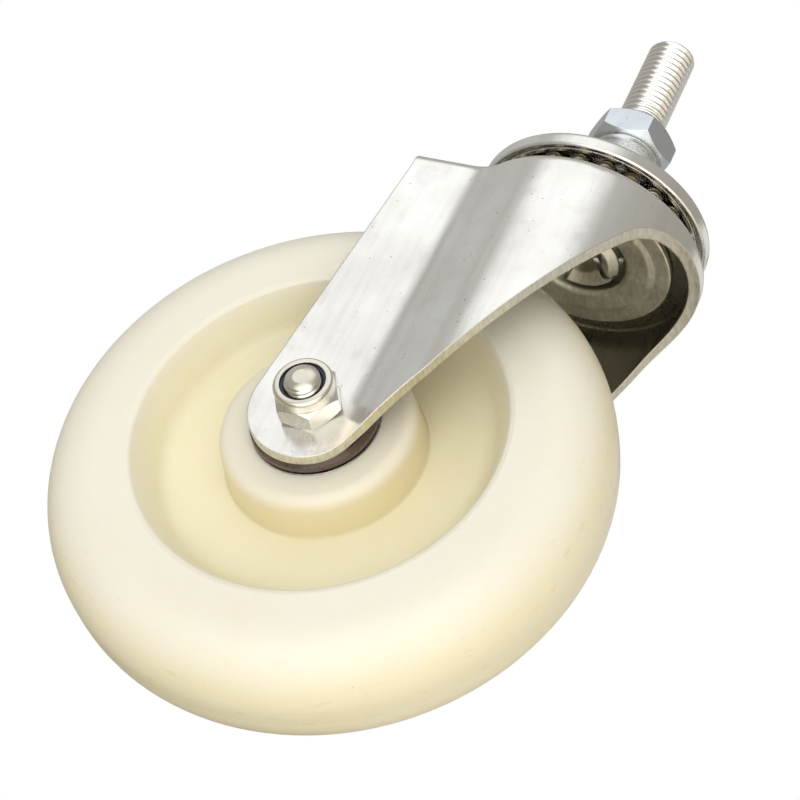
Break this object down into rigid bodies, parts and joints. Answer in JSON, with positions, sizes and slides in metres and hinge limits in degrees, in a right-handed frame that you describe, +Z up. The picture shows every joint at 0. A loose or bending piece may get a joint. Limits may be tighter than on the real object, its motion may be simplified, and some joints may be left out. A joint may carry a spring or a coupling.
{
  "type": "threaded-stem swivel castor",
  "caption": "Swivel castor with a threaded stem and lock nut, a double ball-race head, a pressed steel fork and a solid nylon wheel on a bolted axle.",
  "frame": {"origin": "on the stem's axis at the lock nut's top face, where the free thread starts", "axes": "+Z up the threaded stem, +X the castor's front with the wheel trailing towards -X, Y along the axle with its lock nut at -Y"},
  "size_m": [0.125, 0.0607, 0.2039],
  "materials": {
    "zinc_plate": "bright zinc plate over pressed and turned steel",
    "nut_plate": "bluish zinc plate on machined steel",
    "axle_plate": "warm zinc plate on machined steel",
    "ball_steel": "ground and polished bearing steel",
    "ring_steel": "ground bearing steel",
    "cream_nylon": "moulded cream nylon, satin",
    "dark_cover": "dark brown moulded cover, satin",
    "blue_nylon": "navy nylon locking ring",
    "seal_black": "black rubber-faced shield"
  },
  "bodies": {
    "stem_head": {"threaded_stem": "zinc_plate", "upper_raceway_cap": "zinc_plate", "lower_raceway_cup": "zinc_plate"},
    "lock_nut_body": {"lock_nut": "nut_plate"},
    "upper_balls": {"upper_bearing_balls": "ball_steel"},
    "lower_balls": {"lower_bearing_balls": "ball_steel"},
    "fork_body": {"fork": "zinc_plate", "axle_bolt": "axle_plate", "axle_lock_nut": "axle_plate", "nylon_locking_insert": "blue_nylon", "axle_sleeve": "axle_plate", "bearing_inner_ring_left": "ring_steel", "bearing_inner_ring_right": "ring_steel", "dust_cover_left": "dark_cover", "dust_cover_right": "dark_cover", "spacer_washer_left": "zinc_plate", "spacer_washer_right": "zinc_plate"},
    "wheel_body": {"nylon_wheel": "cream_nylon", "bearing_outer_ring_left": "ring_steel", "bearing_outer_ring_right": "ring_steel", "bearing_seal_left": "seal_black", "bearing_seal_right": "seal_black"},
    "wheel_balls": {"bearing_balls_left": "ball_steel", "bearing_balls_right": "ball_steel"}
  },
  "joints": [
    {"name": "swivel", "type": "hinge", "parent": "stem_head", "child": "fork_body", "pos_m": [0, 0, -0.038], "axis": [0, 0, 1], "continuous": true},
    {"name": "upper_ball_orbit", "type": "hinge", "parent": "stem_head", "child": "upper_balls", "pos_m": [0, 0, -0.034], "axis": [0, 0, 1], "continuous": true},
    {"name": "lower_ball_orbit", "type": "hinge", "parent": "stem_head", "child": "lower_balls", "pos_m": [0, 0, -0.038], "axis": [0, 0, 1], "continuous": true},
    {"name": "wheel_spin", "type": "hinge", "parent": "fork_body", "child": "wheel_body", "pos_m": [-0.0313, 0, -0.1116], "axis": [0, 1, 0], "continuous": true},
    {"name": "wheel_ball_orbit", "type": "hinge", "parent": "fork_body", "child": "wheel_balls", "pos_m": [-0.0313, 0, -0.1116], "axis": [0, 1, 0], "continuous": true},
    {"name": "lock_nut_travel", "type": "slide", "parent": "stem_head", "child": "lock_nut_body", "axis": [0, 0, 1], "range_m": [0, 0.022]}
  ],
  "couplings": [
    {"joint": "upper_ball_orbit", "follows": "swivel", "ratio": 0.5},
    {"joint": "lower_ball_orbit", "follows": "swivel", "ratio": 0.5},
    {"joint": "wheel_ball_orbit", "follows": "wheel_spin", "ratio": 0.585}
  ]
}
